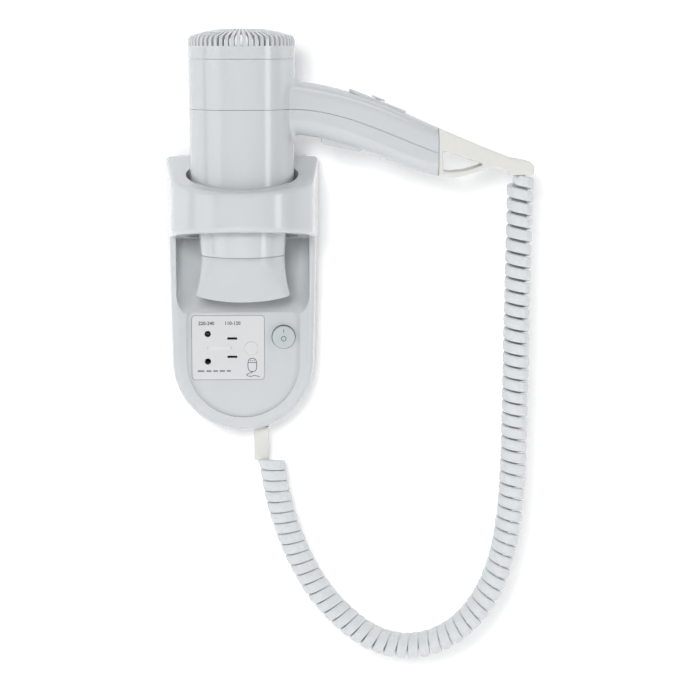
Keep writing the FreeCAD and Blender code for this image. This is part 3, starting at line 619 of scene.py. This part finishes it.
@dataclass
class CurlyCord:
    """The curly cord: a flat cable wound round a line that hangs from the handle to the holder."""

    route: tuple = (
        (0.1865, -0.0600, 0.0822), (0.1851, -0.0600, 0.0090), (0.1845, -0.0590, -0.0665),
        (0.1838, -0.0584, -0.1125), (0.1822, -0.0576, -0.1435), (0.1780, -0.0560, -0.1750),
        (0.1672, -0.0536, -0.2060), (0.1497, -0.0500, -0.2290), (0.1298, -0.0454, -0.2412),
        (0.1096, -0.0404, -0.2450), (0.0890, -0.0354, -0.2404), (0.0693, -0.0304, -0.2270),
        (0.0516, -0.0258, -0.2080), (0.0372, -0.0216, -0.1830), (0.0270, -0.0184, -0.1552),
        (0.0218, -0.0164, -0.1340), (0.0196, -0.0152, -0.1170),
    )
    sleeve_mouth: tuple = (0.0122, -0.0140, -0.1130)
    boot_mouth: tuple = (0.1865, -0.0600, 0.0880)
    coil_radius: float = 0.0069
    width: float = 0.0072
    thickness: float = 0.0044
    groove: float = 0.00022
    groove_at: float = 0.42
    groove_reach: float = 0.14
    squareness: tuple = (0.6, 0.62)
    pitches: tuple = ((0.0, 0.0091), (0.25, 0.0083), (0.6, 0.0078), (1.0, 0.0076))
    steps_per_turn: int = 28
    section_points: int = 32
    lead_steps: int = 14
    first_angle: float = math.radians(185)

    def centre_line(self) -> list[Vector]:
        """Reads the coil's smooth centre line from a NURBS spline through the route.

        Returns:
            The points from the holder's end to the handle's end.
        """
        curve = bpy.data.curves.new("cord_line", "CURVE")
        curve.dimensions = "3D"
        spline = curve.splines.new("NURBS")
        spline.points.add(len(self.route) - 1)
        for point, place in zip(spline.points, reversed(self.route)):
            point.co = (*place, 1.0)
        spline.order_u = 3
        spline.use_endpoint_u = True
        spline.resolution_u = 40
        carrier = bpy.data.objects.new("cord_line", curve)
        read = bpy.data.meshes.new_from_object(carrier)
        line = [v.co.copy() for v in read.vertices]
        bpy.data.objects.remove(carrier)
        bpy.data.curves.remove(curve)
        bpy.data.meshes.remove(read)
        return line

    def pitch_at(self, share: float) -> float:
        """The distance between turns at a share of the way from the handle to the holder."""
        for (low, first), (high, second) in zip(self.pitches, self.pitches[1:]):
            if share <= high:
                return first + (second - first) * (share - low) / (high - low)
        return self.pitches[-1][1]

    def coil(self) -> tuple[list[Vector], list[Vector]]:
        """Winds the cable round the centre line.

        Returns:
            The cable's own line, and the outward direction at each of its points.
        """
        line = self.centre_line()
        lengths = [0.0]
        for a, b in zip(line, line[1:]):
            lengths.append(lengths[-1] + (b - a).length)
        total = lengths[-1]
        side = Vector((1.0, 0.0, 0.0))
        cable, outward = [], []
        travelled, angle, piece = 0.0, self.first_angle, 0
        while travelled <= total:
            while piece < len(line) - 2 and lengths[piece + 1] < travelled:
                piece += 1
            share = (travelled - lengths[piece]) / (lengths[piece + 1] - lengths[piece])
            centre = line[piece].lerp(line[piece + 1], share)
            before, after = line[max(piece - 1, 0)], line[min(piece + 2, len(line) - 1)]
            along = (after - before).normalized()
            side = (side - along * side.dot(along)).normalized()
            spoke = side * math.cos(angle) + along.cross(side) * math.sin(angle)
            cable.append(centre + spoke * self.coil_radius)
            outward.append(spoke)
            angle -= 2 * math.pi / self.steps_per_turn
            travelled += self.pitch_at(1 - travelled / total) / self.steps_per_turn
        return cable, outward

    def lead(self, mouth: tuple, reach: Vector, join: Vector, heading: Vector) -> list[Vector]:
        """A short smooth run from a mouth into the coil.

        Args:
            mouth: Where the cable comes out.
            reach: The direction it comes out in, as long as it is stiff.
            join: The coil's point that it runs into.
            heading: The coil's direction there, as long.

        Returns:
            Its points, without the coil's own point.
        """
        start, points = Vector(mouth), []
        for step in range(self.lead_steps):
            t = step / self.lead_steps
            points.append(start * (2 * t**3 - 3 * t**2 + 1) + reach * (t**3 - 2 * t**2 + t)
                          + join * (3 * t**2 - 2 * t**3) + heading * (t**3 - t**2))
        return points

    def whole_cable(self) -> tuple[list[Vector], list[Vector]]:
        """The coil with its two leads, from the holder to the handle."""
        cable, outward = self.coil()
        first = self.lead(self.sleeve_mouth, Vector((0.0, 0.0, -0.006)), cable[0],
                          (cable[1] - cable[0]).normalized() * 0.006)
        last = self.lead(self.boot_mouth, Vector((0.0, 0.0, -0.010)), cable[-1],
                         (cable[-2] - cable[-1]).normalized() * 0.008)
        front = Vector((0.0, -1.0, 0.0))
        share = [step / self.lead_steps for step in range(self.lead_steps)]
        before = [front.lerp(outward[0], t).normalized() for t in share]
        after = [front.lerp(outward[-1], t).normalized() for t in share]
        return first + cable + last[::-1], before + outward + after[::-1]

    def build(self, palette: "Palette") -> None:
        cable, outward = self.whole_cable()
        rings, around = len(cable), self.section_points
        shape = bmesh.new()
        bmesh.ops.create_grid(shape, x_segments=rings - 1, y_segments=around, size=0.5)
        for vert in shape.verts:
            ring = round((vert.co.x + 0.5) * (rings - 1))
            turn = 2 * math.pi * (round((vert.co.y + 0.5) * around) % around) / around
            along = (cable[min(ring + 1, rings - 1)] - cable[max(ring - 1, 0)]).normalized()
            flat = along.cross(outward[ring]).normalized()
            out = flat.cross(along)
            wide, thick = math.cos(turn), math.sin(turn)
            wide = math.copysign(abs(wide) ** self.squareness[0], wide)
            thick = math.copysign(abs(thick) ** self.squareness[1], thick)
            dip = self.groove * math.exp(-(((abs(wide) - self.groove_at) / self.groove_reach) ** 2))
            vert.co = (cable[ring] + flat * (wide * self.width / 2)
                       + out * (thick * (self.thickness / 2 - dip)))
        bmesh.ops.remove_doubles(shape, verts=shape.verts, dist=1e-6)
        bmesh.ops.holes_fill(shape, edges=[e for e in shape.edges if e.is_boundary], sides=0)
        cord = finish_mesh("curly_cord_coil", shape, palette.material(CORD_PVC), math.radians(60))
        length = sum((b - a).length for a, b in zip(cable, cable[1:]))
        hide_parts("curly_cord")
        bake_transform(cord)
        LOG.info("curly cord: %.2f m of cable in %d steps", length, rings)


def softened(node: str, name: str, material: bpy.types.Material, body: Body,
             voxel: float, rounds: int) -> bpy.types.Object:
    """A finer copy of a moulded node, with its edges rounded over, that stands for the node.

    Args:
        node: The CAD node.
        name: The new piece's name.
        material: Its material.
        body: The body it rides on.
        voxel: The size of its fine cells, in metres.
        rounds: How many times its edges are eased.

    Returns:
        The new piece.
    """
    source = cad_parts[node]
    shape = bmesh.new()
    shape.from_mesh(source.data)
    bmesh.ops.remove_doubles(shape, verts=shape.verts, dist=1e-6)
    mesh = bpy.data.meshes.new(name)
    shape.to_mesh(mesh)
    shape.free()
    rough = bpy.data.objects.new(name + "_rough", mesh)
    bpy.context.scene.collection.objects.link(rough)
    cells = rough.modifiers.new("cells", "REMESH")
    cells.mode, cells.voxel_size = "VOXEL", voxel
    ease = rough.modifiers.new("ease", "SMOOTH")
    ease.factor, ease.iterations = 0.5, rounds
    done = bpy.data.meshes.new_from_object(rough.evaluated_get(bpy.context.evaluated_depsgraph_get()))
    bpy.data.objects.remove(rough)
    shape = bmesh.new()
    shape.from_mesh(done)
    piece = finish_mesh(name, shape, material, math.radians(60))
    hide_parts(node)
    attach(piece, body.value)
    return piece


SHAVER_STROKES = (
    (True, ((-0.0026, 0.0056), (0.0026, 0.0056), (0.0032, 0.0), (0.0023, -0.0036),
            (-0.0023, -0.0036), (-0.0032, 0.0))),
    (False, ((-0.0028, 0.0028), (0.0, 0.0023), (0.0028, 0.0028))),
    (False, ((-0.0012, 0.0036), (-0.0012, 0.0044))),
    (False, ((0.0, 0.0036), (0.0, 0.0044))),
    (False, ((0.0012, 0.0036), (0.0012, 0.0044))),
    (False, ((0.0, -0.0033), (0.0001, -0.0046), (-0.0026, -0.0047), (-0.0044, -0.0062),
             (-0.0012, -0.0072), (0.0022, -0.0060), (0.0050, -0.0074))),
)


def lift_flat(shape: bmesh.types.BMesh, x: float, front: float, z: float, thick: float) -> None:
    """Stands a flat shape, drawn in X and Y, on a front face, and keeps it thin.

    Args:
        shape: The flat shape, drawn about the origin.
        x: Where its origin goes across the face.
        front: The depth of the face.
        z: The height its origin goes to.
        thick: How far it stands proud of the face.
    """
    for vert in shape.verts:
        proud = thick if vert.co.z > 0 else -thick / 2
        vert.co = Vector((x + vert.co.x, front - proud, z + vert.co.y))


@dataclass
class Prints:
    """The small marks printed on the socket and the button, and a dark ring in the gap round the button
    that paints the gap's shadow.
    """

    thick: float = 0.00008
    cap_height: float = 0.0024
    voltages: tuple = (("220-240", -0.0253), ("110-120", -0.0074))
    voltage_z: float = -0.0172
    tick_x: tuple = (-0.0244, -0.0082)
    tick_z: float = -0.0340
    shaver_at: tuple = (0.0060, -0.0470)
    line: float = 0.00046
    dashes: tuple = ((-0.0292, 0.0046), (-0.0238, 0.0034), (-0.0192, 0.0032), (-0.0146, 0.0036),
                     (-0.0101, 0.0028))
    dashes_z: float = -0.0501
    dash_height: float = 0.0011
    tick_size: tuple = (0.00032, 0.0015)
    band_share: float = 0.84
    band_height: float = 0.0021
    band_drop: float = 0.0004
    on_place: tuple = (0.0, 0.0044)
    on_size: tuple = (0.0004, 0.0026)
    off_radius: float = 0.0016
    off_height: float = -0.0010
    size_per_height: float = 1.38
    boldness: float = 0.00007
    bar_depth: float = 0.0001
    # Painted shadow: the size and depth of the dark ring laid in the gap round the button.
    shadow_ring_radius: float = 0.00803
    shadow_ring_width: float = 0.00036
    shadow_ring_sunk: float = 0.0006

    def _flat_piece(self, name: str, shape: bmesh.types.BMesh, place: tuple, body: Body,
                    material: bpy.types.Material) -> None:
        """Places a flat print on a face and rides it on a body.

        Args:
            name: The piece's name.
            shape: The flat shape.
            place: Across, the face's depth, and height, in metres.
            body: The body it rides on.
            material: Its ink.
        """
        lift_flat(shape, place[0], place[1], place[2], self.thick)
        piece = finish_mesh(name, shape, material, math.radians(50))
        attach(piece, body.value)
        LOG.info("%s printed", name)

    @staticmethod
    def _stroke(shape: bmesh.types.BMesh, points: list | tuple, width: float,
                closed: bool = False) -> None:
        """Draws a flat line of even width through smooth points, into a flat shape."""
        curve = bpy.data.curves.new("stroke", "CURVE")
        curve.dimensions = "3D"
        spline = curve.splines.new("NURBS")
        spline.points.add(len(points) - 1)
        for point, (x, y) in zip(spline.points, points):
            point.co = (x, y, 0.0, 1.0)
        spline.order_u = 3
        spline.use_endpoint_u = not closed
        spline.use_cyclic_u = closed
        curve.bevel_depth, curve.bevel_resolution, curve.resolution_u = width / 2, 1, 6
        curve.use_fill_caps = True
        carrier = bpy.data.objects.new("stroke", curve)
        drawn = bpy.data.meshes.new_from_object(carrier)
        shape.from_mesh(drawn)
        bpy.data.objects.remove(carrier)
        bpy.data.curves.remove(curve)
        bpy.data.meshes.remove(drawn)

    @staticmethod
    def _circle(radius: float, height: float) -> list[tuple[float, float]]:
        """Control points whose smooth closed line is a circle about a middle at a height."""
        reach = radius / math.cos(math.radians(11.25))
        angles = [math.radians(22.5 * step) for step in range(16)]
        return [(reach * math.cos(a), reach * math.sin(a) + height) for a in angles]

    def _numerals(self, text: str) -> bmesh.types.BMesh:
        """Plain numerals as a thin flat solid about their own middle."""
        font = bpy.data.curves.new("numerals", "FONT")
        font.body, font.align_x, font.align_y = text, "CENTER", "CENTER"
        font.size = self.cap_height * self.size_per_height
        font.extrude, font.resolution_u = self.bar_depth, 3
        font.offset = self.boldness
        carrier = bpy.data.objects.new("numerals", font)
        drawn = bpy.data.meshes.new_from_object(carrier)
        shape = bmesh.new()
        shape.from_mesh(drawn)
        bpy.data.objects.remove(carrier)
        bpy.data.curves.remove(font)
        bpy.data.meshes.remove(drawn)
        return shape

    def _bar(self, shape: bmesh.types.BMesh, middle: tuple, size: tuple) -> None:
        """Adds a thin flat bar to a flat shape."""
        bar = bmesh.ops.create_cube(shape, size=1.0)["verts"]
        bmesh.ops.scale(shape, vec=(size[0], size[1], self.bar_depth), verts=bar)
        bmesh.ops.translate(shape, vec=(middle[0], middle[1], 0.0), verts=bar)

    def build(self, palette: Palette) -> None:
        """Prints the socket's numerals, marks, dashes and shaver sign, and the button's marks.

        It also lays a dark ring in the gap round the button, a painted shadow for the shade inside the
        gap.
        """
        ink = palette.material(PRINT_INK)
        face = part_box("socket_insert")[0].y
        for text, x in self.voltages:
            self._flat_piece("numerals_" + text.replace("-", "_"), self._numerals(text),
                             (x, face, self.voltage_z), Body.HOLDER, ink)
        ticks = bmesh.new()
        for x in self.tick_x:
            self._bar(ticks, (x, 0.0), self.tick_size)
        self._flat_piece("divider_ticks", ticks, (0.0, face, self.tick_z), Body.HOLDER,
                         palette.material(PALE_INK))
        band = bmesh.new()
        left, right = self.tick_x
        self._bar(band, ((left + right) / 2, 0.0), ((right - left) * self.band_share, self.band_height))
        self._flat_piece("divider_band", band, (0.0, face, self.tick_z - self.band_drop), Body.HOLDER,
                         palette.material(WHITE_INK))
        small = bmesh.new()
        for x, long in self.dashes:
            self._bar(small, (x, 0.0), (long, self.dash_height))
        self._flat_piece("small_print_dashes", small, (0.0, face, self.dashes_z), Body.HOLDER,
                         palette.material(DASH_INK))
        sign = bmesh.new()
        for closed, points in SHAVER_STROKES:
            self._stroke(sign, points, self.line, closed)
        self._flat_piece("shaver_sign", sign, (self.shaver_at[0], face, self.shaver_at[1]),
                         Body.HOLDER, ink)
        low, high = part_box("power_button")
        middle = ((low.x + high.x) / 2, low.y, (low.z + high.z) / 2)
        marks = bmesh.new()
        self._bar(marks, self.on_place, self.on_size)
        self._stroke(marks, self._circle(self.off_radius, self.off_height), self.line, closed=True)
        self._flat_piece("on_off_marks", marks, middle, Body.BUTTON, ink)
        # Painted shadow: a dark ring sunk in the gap round the button stands in for the shade inside
        # the gap.
        gap = bmesh.new()
        self._stroke(gap, self._circle(self.shadow_ring_radius, 0.0), self.shadow_ring_width, closed=True)
        shadow_ring_place = (middle[0], face + self.shadow_ring_sunk, middle[2])
        self._flat_piece("button_gap_lining", gap, shadow_ring_place, Body.HOLDER,
                         palette.material(BLACK_ABS))


@dataclass
class Holder:
    """The wall holder: its shell, cradle, shaver socket and the parts inside it."""

    finishes: dict = field(default_factory=lambda: {
        "holder_shell": WHITE_ABS, "wall_plate": PLATE_ABS, "wall_screws": STEEL,
        "front_cradle_pad": PAD_PVC, "back_cradle_pad": PAD_PVC, "socket_insert": SOCKET_ABS,
        "socket_contacts": BRASS, "screw_cap": SOCKET_ABS, "cover_screw": STEEL,
        "power_switch": BLACK_ABS, "switch_terminals": BRASS, "button_spring": SPRING,
        "power_button": BUTTON_ABS, "mains_terminal_block": GREY_ABS, "transformer_core": CORE,
        "transformer_winding": TAPE, "cord_sleeve": SOFT_PVC, "cord_clamp": GREY_ABS,
        "curly_cord": CORD_PVC,
    })

    def build(self, palette: Palette) -> None:
        """Dresses the holder and rounds over its cord sleeve."""
        palette.dress(self.finishes)
        softened("cord_sleeve", "moulded_cord_sleeve", palette.material(SOFT_PVC),
                 Body.HOLDER, 0.0004, 5)


@dataclass
class Dryer:
    """The hand dryer: housings, cap, nozzle, controls and the works inside."""

    finishes: dict = field(default_factory=lambda: {
        "front_housing": WHITE_ABS, "rear_housing": WHITE_ABS, "intake_cap": WHITE_ABS,
        "nozzle": NOZZLE_ABS, "lint_filter": GAUZE, "fan_impeller": BLACK_ABS,
        "motor_shaft": STEEL, "motor": MOTOR_STEEL, "motor_carrier": BLACK_ABS,
        "motor_board": BOARD, "heat_shield": MICA, "heater_frame": MICA,
        "heating_coils": NICHROME, "thermal_cutout": STEEL, "thermal_fuse": GREY_ABS,
        "outlet_grille": BLACK_ABS, "switch_plate": CONTROL_ABS, "speed_switch": BLACK_ABS,
        "speed_slider": CONTROL_ABS, "trigger_pin": STEEL, "trigger_bracket": GREY_ABS,
        "trigger_spring": SPRING, "micro_switch": BLACK_ABS, "run_trigger": CONTROL_ABS,
        "handle_screws": STEEL, "hanging_boot": SOFT_PVC,
    })

    def build(self, palette: Palette) -> None:
        """Dresses the dryer and rounds over its hanging boot and its nozzle."""
        palette.dress(self.finishes)
        softened("hanging_boot", "moulded_hanging_boot", palette.material(SOFT_PVC),
                 Body.DRYER, 0.0006, 9)
        softened("nozzle", "smooth_nozzle", palette.material(NOZZLE_ABS),
                 Body.NOZZLE, 0.00048, 5)


def main() -> None:
    """Builds the studio, the cord and each sub-assembly."""
    logging.basicConfig(level=logging.INFO, format="%(message)s")
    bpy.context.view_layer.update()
    for left_over in ("Cube", "Light", "Camera"):
        if left_over in bpy.data.objects:
            bpy.data.objects.remove(bpy.data.objects[left_over])
    palette = Palette()
    Studio().build()
    CurlyCord().build(palette)
    Holder().build(palette)
    Dryer().build(palette)
    Prints().build(palette)


if __name__ == "__main__":
    main()
